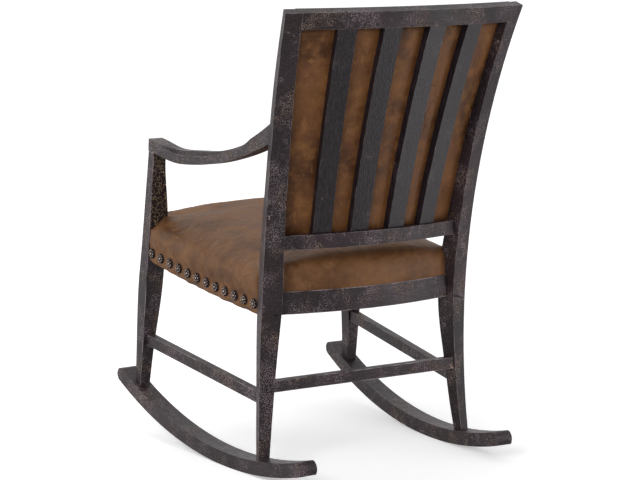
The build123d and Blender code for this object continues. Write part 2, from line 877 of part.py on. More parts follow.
with BuildPart() as long_webbing:
    with BuildSketch(deck_plane(0)):
        with Locations((0, deck_length / 2)):
            with GridLocations(long_strap_pitch, 0, long_straps, 1):
                Rectangle(webbing_width, deck_length)
    extrude(amount=webbing_thickness)
    add(seat_inside, mode=Mode.INTERSECT)
    for neighbour in (seat_rail_blank.part, both_posts):
        add(neighbour, mode=Mode.SUBTRACT)

with BuildPart() as cross_webbing:
    with BuildSketch(deck_plane(webbing_thickness)):
        with Locations((0, deck_length / 2)):
            with GridLocations(0, cross_strap_pitch, 1, cross_straps):
                Rectangle(2 * seat_front_half, webbing_width)
    extrude(amount=webbing_thickness)
    add(seat_inside, mode=Mode.INTERSECT)
    add(both_posts, mode=Mode.SUBTRACT)

with BuildPart() as behind_the_rail:
    with BuildSketch(radial_plane(rail_half_angle)) as rail_shadow:
        rail_front = seat_rail_radius - seat_rail_thickness
        polygon((rail_front, seat_floor), (rail_front + reach, seat_floor),
                (rail_front + reach, seat_ceiling), (rail_front, seat_ceiling))
    bowed(rail_shadow.sketch, rail_half_angle)

with BuildPart() as dust_cover:
    with BuildSketch(side_plane()):
        (y0, z0), (y1, z1), (y2, z2) = seat_edge
        with BuildLine():
            ThreePointArc((y0, z0), (y1, z1), (y2, z2))
            Polyline((y2, z2), (seat_reach, z2), (seat_reach, z2 - dust_cover_thickness),
                     (y2, z2 - dust_cover_thickness))
            ThreePointArc(*[(y, z - dust_cover_thickness) for y, z in reversed(seat_edge)])
            Line((y0, z0 - dust_cover_thickness), (y0, z0))
        make_face()
    extrude(amount=reach, both=True)
    with BuildSketch(level(seat_floor)):
        seat_outline(dust_cover_inset, seat_edge[0][0], back_axis_y + seat_back_radius)
    extrude(amount=reach, mode=Mode.INTERSECT)
    for neighbour in (both_legs, both_posts, behind_the_rail.part):
        add(neighbour, mode=Mode.SUBTRACT)

# ---------------------------------------------------------------- stretchers


def side_stretcher_slab(shrink, front, back):
    """A stretcher on the left, its outer face on the plan line, between two ends."""
    (x0, y0), (x1, y1) = side_stretcher_line
    (a, za), (b, zb) = side_stretcher_rise
    fall = (zb - za) / (b - a)
    run = (x1 - x0) / (y1 - y0)
    with BuildPart() as slab:
        with BuildSketch(side_plane()):
            tops = [(y, za + fall * (y - a) - shrink) for y in (front, back)]
            bottoms = [(y, z - side_stretcher_height + 2 * shrink) for y, z in tops]
            polygon(tops[0], tops[1], bottoms[1], bottoms[0])
        extrude(amount=reach)
        with BuildSketch(level(0)):
            outer = [(x0 + run * (y - y0) - shrink, y) for y in (front, back)]
            inner = [(x - stretcher_thickness + 2 * shrink, y) for x, y in outer]
            polygon(outer[0], outer[1], inner[1], inner[0])
        extrude(amount=reach, mode=Mode.INTERSECT)
    return slab.part


with BuildPart() as side_stretcher_blank:
    add(side_stretcher_slab(0, *side_stretcher_ends))
    add(leg_blank.part, mode=Mode.SUBTRACT)
    add(post_blank.part, mode=Mode.SUBTRACT)

tenon_ends = (side_stretcher_ends[0] - tenon_reach, side_stretcher_ends[1] + tenon_reach)
side_stretcher_core = side_stretcher_slab(tenon_shoulder - 1, *tenon_ends)

with BuildPart() as back_stretcher_blank:
    with BuildSketch(cross_plane(back_stretcher_y)):
        with Locations((0, (back_stretcher_bottom + back_stretcher_top) / 2)):
            Rectangle(back_stretcher_length - tenon_reach, back_stretcher_top - back_stretcher_bottom)
    extrude(amount=stretcher_thickness)
    add(both_posts, mode=Mode.SUBTRACT)

with BuildPart() as back_stretcher_tenons:
    with BuildSketch(cross_plane(back_stretcher_y - tenon_shoulder + 1)):
        with Locations((0, (back_stretcher_bottom + back_stretcher_top) / 2)):
            Rectangle(back_stretcher_length,
                      back_stretcher_top - back_stretcher_bottom - 2 * tenon_shoulder + 2)
    extrude(amount=stretcher_thickness - 2 * tenon_shoulder + 2)


# ---------------------------------------------------------------- feet

leg_foot_middle = leg_section(leg_foot_height, *leg_stations[0][1:]).face().center()
post_foot_middle = post_section(post_foot_height, *post_stations[0][1:]).face().center()
post_foot_lean = (-0.03, -0.1, 1)

with BuildPart() as side_dowels:
    for middle, lean in ((leg_foot_middle, (0, leg_lean, 1)), (post_foot_middle, post_foot_lean)):
        with BuildSketch(Plane(origin=middle, z_dir=lean)) as dowel:
            Circle(dowel_diameter / 2)
        extrude(dowel.sketch, amount=dowel_length / 2, both=True)

# ---------------------------------------------------------------- finished pieces


def fitted(blank, joined=(), cut=()):
    """A piece with its own tenons added and its neighbours' tenons cut out."""
    with BuildPart() as piece:
        add(blank.part)
        for other in joined:
            add(other)
        for other in cut:
            add(other, mode=Mode.SUBTRACT)
    return piece


rocker = fitted(rocker_blank, cut=[side_dowels.part])
rear_post = fitted(post_blank, cut=[
    top_rail_tenons.part, lower_rail_tenons.part, seat_rail_tenons.part, side_rail_tenons.part,
    back_stretcher_tenons.part, side_stretcher_core, arm_stub.part, side_dowels.part])
front_leg = fitted(leg_blank, joined=[leg_stub.part], cut=[
    front_rail_tenons.part, side_rail_tenons.part, side_stretcher_core, side_dowels.part])
arm = fitted(arm_blank, joined=[arm_stub.part], cut=[leg_stub.part])
side_seat_rail = fitted(side_rail_blank, joined=[side_rail_tenons.part], cut=[side_nail_row.part])
front_seat_rail = fitted(front_rail_blank, joined=[front_rail_tenons.part], cut=[front_nail_row.part])
rear_seat_rail = fitted(seat_rail_blank, joined=[seat_rail_tenons.part])
side_stretcher = fitted(side_stretcher_blank, joined=[side_stretcher_core])
back_stretcher = fitted(back_stretcher_blank, joined=[back_stretcher_tenons.part])

write_pair(rocker, "rocker")
write_pair(rear_post, "rear_post")
write_pair(front_leg, "front_leg")
write_pair(arm, "arm")
write_pair(side_seat_rail, "side_seat_rail")
write_pair(side_stretcher, "side_stretcher")
write_pair(front_block, "front_corner_block")
write_pair(back_block, "back_corner_block")
write_pair(side_nail_row, "side_nails")
write(front_seat_rail, "front_seat_rail")
write(rear_seat_rail, "rear_seat_rail")
write(back_stretcher, "back_stretcher")
write(front_nail_row, "front_nails")
write(seat_leather, "seat_leather")
write(seat_foam, "seat_foam")
write(long_webbing, "long_webbing")
write(cross_webbing, "cross_webbing")
write(dust_cover, "dust_cover")

with BuildPart() as foot_dowels:
    add(both_sides(side_dowels))
write(foot_dowels, "foot_dowels")
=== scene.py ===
# %% [markdown]
# # A painted hickory rocking armchair
# The chair stands on two curved runners. Its back is a bowed frame of painted slats with a
# leather panel on the sitter's side, and its seat is stuffed, covered in brown leather and
# edged with rosette nails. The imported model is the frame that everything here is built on:
# every wooden part, every pad and every nail already has its place in it, in metres.

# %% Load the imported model
import json
import math

import bmesh
import bpy
from mathutils import Matrix, Vector, noise
from mathutils.bvhtree import BVHTree

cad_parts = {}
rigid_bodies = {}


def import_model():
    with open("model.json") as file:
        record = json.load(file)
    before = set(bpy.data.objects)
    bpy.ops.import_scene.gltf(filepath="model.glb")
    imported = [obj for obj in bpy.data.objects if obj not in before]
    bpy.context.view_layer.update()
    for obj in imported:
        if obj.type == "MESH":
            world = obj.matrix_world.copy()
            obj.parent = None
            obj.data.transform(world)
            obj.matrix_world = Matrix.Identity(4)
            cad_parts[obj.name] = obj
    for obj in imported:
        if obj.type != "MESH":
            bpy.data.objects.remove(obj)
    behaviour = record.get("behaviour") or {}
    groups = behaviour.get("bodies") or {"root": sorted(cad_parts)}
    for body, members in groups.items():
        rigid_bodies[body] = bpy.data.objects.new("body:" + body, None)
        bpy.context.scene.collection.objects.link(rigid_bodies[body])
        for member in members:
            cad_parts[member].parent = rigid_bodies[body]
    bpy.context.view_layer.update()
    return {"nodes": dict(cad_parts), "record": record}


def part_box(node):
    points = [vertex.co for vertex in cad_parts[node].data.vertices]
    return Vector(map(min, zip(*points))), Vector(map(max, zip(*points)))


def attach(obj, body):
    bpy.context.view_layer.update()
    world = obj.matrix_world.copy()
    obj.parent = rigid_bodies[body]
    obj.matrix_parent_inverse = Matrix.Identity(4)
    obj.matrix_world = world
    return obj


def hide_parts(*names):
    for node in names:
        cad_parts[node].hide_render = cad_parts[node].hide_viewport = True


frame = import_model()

nodes = frame["nodes"]
scene = bpy.context.scene
print("nodes in the frame:", len(nodes))

# %% [markdown]
# ## Camera
# The view is from behind and to the chair's left, a little above the seat, through a long
# lens. The camera is turned by its own three axes: the one that points backwards comes from
# the angle round the chair and the height above the floor, and the others are square to it.

# %% Camera
camera_place = Vector((2.9320, 4.6173, 1.3326))
camera_round = math.radians(147.58)
camera_rise = math.radians(8.72)
camera_lens = 131.34


def add_camera():
    """Put in the camera, level from side to side."""
    across = math.cos(camera_rise)
    backwards = Vector((
        math.sin(camera_round) * across,
        -math.cos(camera_round) * across,
        math.sin(camera_rise),
    ))
    right = Vector((0, 0, 1)).cross(backwards).normalized()
    up = backwards.cross(right)
    data = bpy.data.cameras.new("camera")
    data.lens = camera_lens
    data.clip_end = 50
    camera = bpy.data.objects.new("camera", data)
    turned = Matrix((right, up, backwards)).transposed().to_4x4()
    camera.matrix_world = Matrix.Translation(camera_place) @ turned
    scene.collection.objects.link(camera)
    scene.camera = camera
    return camera


camera = add_camera()
print("camera stands", round(camera.location.length, 2), "m from the chair")

# %% [markdown]
# ## Light, floor and background
# A studio product shot has one broad soft light, a weaker one from the other side and white
# all round. The world is white for the camera and for reflections, and dimmer as a light, so
# that a colour renders about as it is written. The floor is a pale sheet that takes the soft
# shadow of the chair and melts into the background.

# %% World and floor
world_light = 0.46
floor_size = 60.0
near_lift = 0.40
far_lift = 0.66
near_reach = 1.6
far_reach = 4.0


def link(tree, source, target):
    """Join two node sockets."""
    tree.links.new(source, target)


def add_world():
    """White for the eye and for gloss, soft grey as a light."""
    world = bpy.data.worlds.new("studio")
    world.use_nodes = True
    tree = world.node_tree
    backdrop = tree.nodes["Background"]
    backdrop.inputs["Color"].default_value = (1, 1, 1, 1)
    path = tree.nodes.new("ShaderNodeLightPath")
    seen = tree.nodes.new("ShaderNodeMath")
    seen.operation = "MAXIMUM"
    link(tree, path.outputs["Is Camera Ray"], seen.inputs[0])
    through = tree.nodes.new("ShaderNodeMath")
    through.operation = "MAXIMUM"
    link(tree, path.outputs["Is Glossy Ray"], through.inputs[0])
    link(tree, path.outputs["Is Transmission Ray"], through.inputs[1])
    link(tree, through.outputs[0], seen.inputs[1])
    strength = tree.nodes.new("ShaderNodeMapRange")
    strength.inputs["To Min"].default_value = world_light
    strength.inputs["To Max"].default_value = 1.0
    link(tree, seen.outputs[0], strength.inputs["Value"])
    link(tree, strength.outputs["Result"], backdrop.inputs["Strength"])
    scene.world = world


def add_floor():
    """A pale floor, lifted to white where nothing shades it."""
    material = bpy.data.materials.new("pale_floor")
    material.use_nodes = True
    tree = material.node_tree
    shader = tree.nodes["Principled BSDF"]
    shader.inputs["Base Color"].default_value = (0.86, 0.86, 0.87, 1)
    shader.inputs["Roughness"].default_value = 0.75
    shader.inputs["Specular IOR Level"].default_value = 0.15
    shader.inputs["Emission Color"].default_value = (1, 1, 1, 1)
    place = tree.nodes.new("ShaderNodeTexCoord")
    distance = tree.nodes.new("ShaderNodeVectorMath")
    distance.operation = "LENGTH"
    link(tree, place.outputs["Object"], distance.inputs[0])
    lift = tree.nodes.new("ShaderNodeMapRange")
    lift.inputs["From Min"].default_value = near_reach
    lift.inputs["From Max"].default_value = far_reach
    lift.inputs["To Min"].default_value = near_lift
    lift.inputs["To Max"].default_value = far_lift
    link(tree, distance.outputs["Value"], lift.inputs["Value"])
    path = tree.nodes.new("ShaderNodeLightPath")
    seen = tree.nodes.new("ShaderNodeMath")
    seen.operation = "MULTIPLY"
    link(tree, lift.outputs["Result"], seen.inputs[0])
    link(tree, path.outputs["Is Camera Ray"], seen.inputs[1])
    link(tree, seen.outputs[0], shader.inputs["Emission Strength"])
    sheet = bmesh.new()
    bmesh.ops.create_grid(sheet, x_segments=1, y_segments=1, size=floor_size / 2)
    mesh = bpy.data.meshes.new("floor")
    sheet.to_mesh(mesh)
    sheet.free()
    mesh.materials.append(material)
    floor = bpy.data.objects.new("floor", mesh)
    scene.collection.objects.link(floor)


add_world()
add_floor()
print("world light", world_light, "and a floor", floor_size, "m wide")

# %% Lamps
chair_middle = Vector((0, 0, 0.55))
lamp_plan = {
    "key": {"place": (2.9, 2.3, 2.3), "size": 1.6, "power": 62},
    "side": {"place": (3.4, -2.6, 0.9), "size": 2.4, "power": 50},
    "front": {"place": (0.7, -3.9, 2.7), "size": 2.4, "power": 40},
    "fill": {"place": (-3.2, 2.3, 0.7), "size": 2.0, "power": 12},
    "card": {"place": (-0.98, 1.06, 0.17), "size": 0.6, "power": 5.0},
    "top": {"place": (0.2, -0.6, 3.2), "size": 2.2, "power": 18},
}


def add_lamp(name, place, size, power):
    """A square soft light, turned to the middle of the chair."""
    data = bpy.data.lights.new(name, "AREA")
    data.size = size
    data.energy = power
    lamp = bpy.data.objects.new(name, data)
    lamp.location = place
    aim = chair_middle - Vector(place)
    lamp.rotation_euler = aim.to_track_quat("-Z", "Y").to_euler()
    lamp.visible_camera = False
    scene.collection.objects.link(lamp)


for lamp_name, lamp in lamp_plan.items():
    add_lamp(lamp_name, **lamp)
scene.view_settings.view_transform = "Standard"
print("lamps:", ", ".join(lamp_plan))

# %% [markdown]
# ## Building a finish out of nodes
# Every finish starts from the Principled shader. A few small helpers keep the recipes short:
# one makes a node and sets its inputs, one turns a value into a mask with soft ends, one mixes
# two colours and one adds a bump. All patterns read Object coordinates, which are the chair's
# own metres, so a pattern has a real size and runs on from one piece to the next.

# %% Helpers for finishes
def new_finish(name):
    """An empty finish: its material, node tree and shader."""
    material = bpy.data.materials.new(name)
    material.use_nodes = True
    tree = material.node_tree
    return material, tree, tree.nodes["Principled BSDF"]


def node(tree, kind, settings=(), **inputs):
    """A node with its settings and its unlinked or linked inputs."""
    made = tree.nodes.new(kind)
    for key, value in dict(settings).items():
        setattr(made, key, value)
    for key, value in inputs.items():
        socket = made.inputs[key.replace("_", " ")]
        if isinstance(value, bpy.types.NodeSocket):
            link(tree, value, socket)
        else:
            socket.default_value = value
    return made


def object_place(tree, scale=(1, 1, 1)):
    """The chair's own coordinates, stretched by a scale."""
    place = node(tree, "ShaderNodeTexCoord")
    return node(tree, "ShaderNodeMapping", Vector=place.outputs["Object"], Scale=scale).outputs[0]


def cloud(tree, place, scale, detail=4.0, roughness=0.55):
    """Soft noise from 0 to 1."""
    made = node(tree, "ShaderNodeTexNoise", Vector=place, Scale=scale, Detail=detail, Roughness=roughness)
    return made.outputs["Fac"]


def mask(tree, value, low, high, start=0.0, end=1.0):
    """Turns a value into a mask: start at low and under, end at high and over."""
    made = node(tree, "ShaderNodeMapRange", {"interpolation_type": "SMOOTHSTEP"}, Value=value)
    made.inputs["From Min"].default_value = low
    made.inputs["From Max"].default_value = high
    made.inputs["To Min"].default_value = start
    made.inputs["To Max"].default_value = end
    return made.outputs["Result"]


def times(tree, one, other):
    """The product of two values."""
    made = node(tree, "ShaderNodeMath", {"operation": "MULTIPLY"})
    for socket, value in zip(made.inputs, (one, other)):
        if isinstance(value, bpy.types.NodeSocket):
            link(tree, value, socket)
        else:
            socket.default_value = value
    return made.outputs[0]


def mixed(tree, share, under, over):
    """One colour laid over another by a share."""
    made = node(tree, "ShaderNodeMix", {"data_type": "RGBA"})
    link(tree, share, made.inputs[0])
    for socket, colour in ((made.inputs[6], under), (made.inputs[7], over)):
        if isinstance(colour, bpy.types.NodeSocket):
            link(tree, colour, socket)
        else:
            socket.default_value = (*colour, 1)
    return made.outputs[2]


def bumped(tree, height, depth, below=None):
    """A bump of a real depth in metres, on top of another bump."""
    made = node(tree, "ShaderNodeBump", Height=height, Distance=depth, Strength=1.0)
    if below is not None:
        link(tree, below, made.inputs["Normal"])
    return made.outputs["Normal"]


def shifted(tree, place, scale, amount):
    """Coordinates pushed about by noise, so that a pattern wanders."""
    push = node(tree, "ShaderNodeTexNoise", Vector=place, Scale=scale, Detail=2.0)
    centred = node(tree, "ShaderNodeVectorMath", {"operation": "SUBTRACT"})
    link(tree, push.outputs["Color"], centred.inputs[0])
    centred.inputs[1].default_value = (0.5, 0.5, 0.5)
    scaled = node(tree, "ShaderNodeVectorMath", {"operation": "SCALE"}, Scale=amount)
    link(tree, centred.outputs[0], scaled.inputs[0])
    moved = node(tree, "ShaderNodeVectorMath", {"operation": "ADD"})
    link(tree, place, moved.inputs[0])
    link(tree, scaled.outputs[0], moved.inputs[1])
    return moved.outputs[0]


def crack_lines(tree, place, scale, width):
    """A net of fine lines between cells: 1 on a line, 0 inside a cell."""
    cells = node(tree, "ShaderNodeTexVoronoi", {"feature": "DISTANCE_TO_EDGE"}, Vector=place, Scale=scale)
    return mask(tree, cells.outputs["Distance"], width * 0.35, width, 1.0, 0.0)


print("helpers are ready")

# %% [markdown]
# ## Crackled paint
# The frame is painted almost black over a brown coat. The top coat has shrunk into a fine net
# of cracks, which shows the tan coat beneath. Cracks are a Voronoi texture's cell borders,
# made to wander by noise, and a second, broad noise decides where the net is dense and where
# the paint is whole. Long faint streaks along the wood stand for its grain under the paint.
# Arrises are rubbed through in places, so they have a finish of their own.

# %% Crackled paint
paint_black = (0.0072, 0.0036, 0.0052)
paint_plum = (0.0190, 0.0098, 0.0132)
crack_mauve = (0.240, 0.180, 0.198)
crack_tan = (0.240, 0.165, 0.130)
worn_pale = (0.34, 0.29, 0.29)
crack_gold = (0.36, 0.26, 0.155)
paint_gloss = 0.26
grain_stretch = {"x": (1, 9, 9), "y": (9, 1, 9), "z": (9, 9, 1)}


def crackled_paint(name, along, cover=0.52, gold=0.0, worn=0.0, fine_width=0.17, wide=(0.60, 0.085)):
    """Dark crackled paint with its grain along one axis."""
    material, tree, shader = new_finish(name)
    place = object_place(tree)
    wander = shifted(tree, place, 45, 0.006)
    fine = crack_lines(tree, shifted(tree, wander, 230, 0.0030), 265, fine_width)
    wide_start, wide_width = wide
    coarse = crack_lines(tree, wander, 105, wide_width)
    broken = mask(tree, cloud(tree, place, 330, 3, 0.7), 0.44, 0.56)
    patches = mask(tree, cloud(tree, place, 13, 4, 0.65), 0.56 - 0.22 * cover, 0.70 - 0.16 * cover, 0.12, 1.0)
    fine_share = times(tree, times(tree, fine, patches), broken)
    wide_patches = mask(tree, cloud(tree, shifted(tree, place, 5, 0.2), 15, 3), wide_start, wide_start + 0.12)
    coarse_share = times(tree, times(tree, coarse, wide_patches), mask(tree, cloud(tree, place, 90, 3), 0.40, 0.52))
    cracks = node(tree, "ShaderNodeMath", {"operation": "MAXIMUM"})
    link(tree, fine_share, cracks.inputs[0])
    link(tree, coarse_share, cracks.inputs[1])

    streaks = cloud(tree, object_place(tree, grain_stretch[along]), 26, 5, 0.6)
    ground = mixed(tree, mask(tree, cloud(tree, place, 7, 3), 0.38, 0.66), paint_black, paint_plum)
    ground = mixed(tree, mask(tree, streaks, 0.52, 0.74, 0.0, 0.35), ground, paint_plum)
    under = mixed(tree, mask(tree, cloud(tree, place, 17, 2), 0.42, 0.62), crack_mauve, crack_tan)
    if gold:
        under = mixed(tree, mask(tree, cloud(tree, place, 9, 2), 0.60 - gold, 0.85 - gold), under, crack_gold)
    colour = mixed(tree, cracks.outputs[0], ground, under)
    if worn:
        rub = mask(tree, cloud(tree, shifted(tree, place, 60, 0.02), 22, 5, 0.7), 0.62 - 0.3 * worn, 0.78 - 0.2 * worn)
        colour = mixed(tree, rub, colour, mixed(tree, streaks, worn_pale, crack_mauve))
    link(tree, colour, shader.inputs["Base Color"])
    link(tree, mask(tree, streaks, 0.3, 0.75, 0.34, 0.50), shader.inputs["Roughness"])
    shader.inputs["Specular IOR Level"].default_value = paint_gloss
    relief = bumped(tree, streaks, 0.0012)
    relief = bumped(tree, times(tree, cracks.outputs[0], -1.0), 0.0006, relief)
    link(tree, relief, shader.inputs["Normal"])
    return material


paint_finishes = {axis: crackled_paint(f"paint_grain_{axis}", axis) for axis in "xyz"}
rubbed_finishes = {axis: crackled_paint(f"paint_rubbed_{axis}", axis, 0.7, worn=0.8) for axis in "xyz"}
stump_finish = crackled_paint("paint_gold_crackle", "z", 0.3, gold=0.45, fine_width=0.05, wide=(0.28, 0.055))
print("paint finishes:", ", ".join(m.name for m in paint_finishes.values()))

# %% [markdown]
# ## Slat paint
# The slats carry a bluer charcoal coat, smoother than the frame's, with hardly a crack. What
# breaks it up is the wood beneath: long soft streaks, and the odd scuff.

# %% Slat paint
slat_dark = (0.0078, 0.0052, 0.0068)
slat_light = (0.024, 0.0170, 0.0215)


def slat_paint(name, worn=0.0):
    """Smooth charcoal paint with streaks along the slat."""
    material, tree, shader = new_finish(name)
    place = object_place(tree)
    streaks = cloud(tree, object_place(tree, grain_stretch["z"]), 30, 6, 0.62)
    colour = mixed(tree, mask(tree, streaks, 0.40, 0.70), slat_dark, slat_light)
    scuffs = mask(tree, cloud(tree, shifted(tree, place, 40, 0.02), 55, 4, 0.7), 0.66, 0.74, 0.0, 0.30)
    colour = mixed(tree, scuffs, colour, crack_mauve)
    cracks = crack_lines(tree, shifted(tree, place, 60, 0.008), 120, 0.05)
    cracks = times(tree, cracks, mask(tree, cloud(tree, place, 12, 3), 0.58, 0.70, 0.0, 0.45))
    colour = mixed(tree, cracks, colour, crack_mauve)
    if worn:
        rub = mask(tree, cloud(tree, place, 24, 5, 0.7), 0.64 - 0.3 * worn, 0.80 - 0.2 * worn)
        colour = mixed(tree, rub, colour, worn_pale)
    link(tree, colour, shader.inputs["Base Color"])
    link(tree, mask(tree, streaks, 0.3, 0.75, 0.30, 0.44), shader.inputs["Roughness"])
    shader.inputs["Specular IOR Level"].default_value = paint_gloss
    link(tree, bumped(tree, streaks, 0.0010), shader.inputs["Normal"])
    return material


slat_finish = slat_paint("slat_charcoal")
slat_rubbed = slat_paint("slat_charcoal_rubbed", worn=0.6)
print("slat finish:", slat_finish.name)

# %% [markdown]
# ## Waxed leather
# The hide is a warm mid brown, cloudy from the tanner's dye and paler where it has been
# pulled. It has a grain of small pebbles, creases that branch, and a few scars. Colour
# comes from three sizes of noise, creases from a stretched Voronoi net, and the sheen from a
# middling roughness that the grain breaks up. The creases are also darkened in the colour,
# which is painted shade in them.

# %% Leather
seat_tones = ((0.076, 0.030, 0.0095), (0.146, 0.064, 0.0235), (0.220, 0.110, 0.046))
back_tones = ((0.050, 0.017, 0.0042), (0.140, 0.055, 0.0165), (0.255, 0.115, 0.038))
hide_red = (0.130, 0.050, 0.026)


def leather(name, deep, brown, pale, crease_stretch):
    """Brown hide with grain, clouds and creases."""
    material, tree, shader = new_finish(name)
    place = object_place(tree)
    clouds = cloud(tree, shifted(tree, place, 5, 0.03), 7.5, 5, 0.58)
    mottle = cloud(tree, shifted(tree, place, 20, 0.012), 30, 5, 0.62)
    colour = mixed(tree, mask(tree, clouds, 0.32, 0.60), deep, brown)
    colour = mixed(tree, mask(tree, mottle, 0.44, 0.74, 0.0, 0.50), colour, pale)
    reddish = mask(tree, cloud(tree, place, 10, 3), 0.52, 0.70, 0.0, 0.40)
    colour = mixed(tree, reddish, colour, hide_red)
    creased = shifted(tree, object_place(tree, crease_stretch), 9, 0.10)
    creases = crack_lines(tree, creased, 19, 0.030)
    creases = times(tree, creases, mask(tree, cloud(tree, place, 8, 2), 0.50, 0.66, 0.0, 0.7))
    # Painted shade: the creases are darkened towards the deep tone; their relief comes from the bump below.
    colour = mixed(tree, times(tree, creases, 0.35), colour, deep)
    scars = mask(tree, cloud(tree, shifted(tree, place, 30, 0.03), 90, 3, 0.7), 0.60, 0.72, 0.0, 0.55)
    colour = mixed(tree, scars, colour, pale)
    speckle = mask(tree, cloud(tree, place, 260, 3, 0.7), 0.50, 0.70, 0.0, 0.30)
    colour = mixed(tree, speckle, colour, deep)
    link(tree, colour, shader.inputs["Base Color"])

    pebbles = node(tree, "ShaderNodeTexVoronoi", {"feature": "SMOOTH_F1"}, Vector=place, Scale=520.0)
    relief = bumped(tree, mottle, 0.0009)
    relief = bumped(tree, times(tree, creases, -1.0), 0.0011, relief)
    relief = bumped(tree, pebbles.outputs["Distance"], 0.00022, relief)
    link(tree, relief, shader.inputs["Normal"])
    link(tree, mask(tree, mottle, 0.30, 0.75, 0.48, 0.62), shader.inputs["Roughness"])
    shader.inputs["Specular IOR Level"].default_value = 0.20
    return material


seat_hide = leather("seat_leather_brown", *seat_tones, crease_stretch=(1, 1, 1.6))
back_hide = leather("back_leather_brown", *back_tones, crease_stretch=(2.2, 1, 0.7))
print("leathers:", seat_hide.name, back_hide.name)

# %% [markdown]
# ## Hidden finishes
# Under the leather are plain sawn hickory, jute webbing, foam, black cambric and steel screws.
# They show only from below or between other pieces, and still have their own grain and weave.
# The seat rails and the board are stained brown, as their edges can be seen beside the hide.

# %% Wood, jute, foam, cambric and steel
def sawn_hickory(name, early, late, pore):
    """Sawn wood, its grain along the piece."""
    material, tree, shader = new_finish(name)
    place = object_place(tree, (2, 2, 2))
    rings = node(tree, "ShaderNodeTexWave", {"wave_type": "BANDS", "bands_direction": "Z"},
                 Vector=place, Scale=16.0, Distortion=5.0, Detail=4.0)
    colour = mixed(tree, mask(tree, rings.outputs["Fac"], 0.2, 0.9), late, early)
    pores = cloud(tree, object_place(tree, (1, 12, 12)), 60, 3)
    colour = mixed(tree, mask(tree, pores, 0.58, 0.72, 0, 0.5), colour, pore)
    link(tree, colour, shader.inputs["Base Color"])
    link(tree, mask(tree, pores, 0.3, 0.7, 0.55, 0.75), shader.inputs["Roughness"])
    link(tree, bumped(tree, pores, 0.0006), shader.inputs["Normal"])
    return material


def woven(name, light, dark, threads, depth, roughness):
    """A plain weave: two wave textures at right angles."""
    material, tree, shader = new_finish(name)
    place = object_place(tree)
    warp = node(tree, "ShaderNodeTexWave", {"bands_direction": "X"}, Vector=place, Scale=threads, Distortion=0.6)
    weft = node(tree, "ShaderNodeTexWave", {"bands_direction": "Y"}, Vector=place, Scale=threads, Distortion=0.6)
    weave = times(tree, warp.outputs["Fac"], weft.outputs["Fac"])
    fuzz = cloud(tree, place, 120, 3)
    colour = mixed(tree, mask(tree, weave, 0.05, 0.7), dark, light)
    colour = mixed(tree, mask(tree, fuzz, 0.45, 0.7, 0, 0.4), colour, dark)
    link(tree, colour, shader.inputs["Base Color"])
    link(tree, mask(tree, fuzz, 0.3, 0.7, roughness, 0.95), shader.inputs["Roughness"])
    link(tree, bumped(tree, weave, depth), shader.inputs["Normal"])
    return material


def open_foam():
    """Yellowish foam with small open cells."""
    material, tree, shader = new_finish("stuffing_foam")
    place = object_place(tree)
    cells = node(tree, "ShaderNodeTexVoronoi", Vector=place, Scale=420.0)
    tint = mask(tree, cloud(tree, place, 12, 3), 0.35, 0.7)
    link(tree, mixed(tree, tint, (0.72, 0.63, 0.38), (0.84, 0.77, 0.55)), shader.inputs["Base Color"])
    link(tree, mask(tree, cells.outputs["Distance"], 0.1, 0.8, 0.8, 0.95), shader.inputs["Roughness"])
    link(tree, bumped(tree, cells.outputs["Distance"], 0.0010), shader.inputs["Normal"])
    return material


def bright_steel():
    """Turned steel of the hidden screws."""
    material, tree, shader = new_finish("screw_steel")
    scratches = cloud(tree, object_place(tree, (1, 1, 14)), 160, 3)
    link(tree, mixed(tree, scratches, (0.34, 0.34, 0.36), (0.62, 0.62, 0.65)), shader.inputs["Base Color"])
    link(tree, mask(tree, scratches, 0.3, 0.7, 0.25, 0.45), shader.inputs["Roughness"])
    shader.inputs["Metallic"].default_value = 1.0
    link(tree, bumped(tree, scratches, 0.0001), shader.inputs["Normal"])
    return material


hidden_finishes = {
    "bare_wood": sawn_hickory("bare_hickory", (0.56, 0.39, 0.22), (0.40, 0.25, 0.13), (0.24, 0.14, 0.07)),
    "webbing": woven("jute_webbing", (0.36, 0.28, 0.16), (0.16, 0.11, 0.055), 160.0, 0.0012, 0.75),
    "lining": woven("black_cambric", (0.030, 0.030, 0.033), (0.010, 0.010, 0.011), 380.0, 0.0004, 0.80),
    "foam": open_foam(),
    "steel": bright_steel(),
}
stained_wood = sawn_hickory("stained_hickory", (0.060, 0.030, 0.016), (0.036, 0.017, 0.009), (0.012, 0.006, 0.004))
print("hidden finishes:", ", ".join(hidden_finishes))

# %% Dress the hidden parts
slot_of = {part["node"]: part["material_slot"] for part in frame["record"]["subparts"]}


def dress(name, material):
    """Give a part of the frame its finish."""
    mesh = nodes[name].data
    mesh.materials.clear()
    mesh.materials.append(material)


for name, slot_name in slot_of.items():
    if slot_name in hidden_finishes:
        dress(name, hidden_finishes[slot_name])
for name in ("side_seat_rail_left", "side_seat_rail_right", "front_seat_rail", "back_board"):
    dress(name, stained_wood)
print("dressed:", sum(slot in hidden_finishes for slot in slot_of.values()), "hidden parts")

# %% [markdown]
# ## Painted parts with eased edges
# A painter's brush and years of hands leave no sharp arris on a chair. Each painted part is a
# copy of its solid, welded, with its flat faces joined, and a Bevel modifier rounds every edge
# sharper than a set angle. The bevel's own faces take the rubbed finish, which is how the
# pale worn lines come to lie exactly on the edges.

# %% Ease the edges of the painted parts
weld_distance = 0.00002
flat_angle = math.radians(0.6)
sharp_angle = math.radians(32)
edge_radius = 0.0016
grain_of = {
    "rocker_left": "y", "rocker_right": "y", "arm_left": "y", "arm_right": "y",
    "side_stretcher_left": "y", "side_stretcher_right": "y",
    "rear_post_left": "z", "rear_post_right": "z", "front_leg_left": "z", "front_leg_right": "z",
    "top_rail": "x", "lower_back_rail": "x", "rear_seat_rail": "x", "back_stretcher": "x",
}


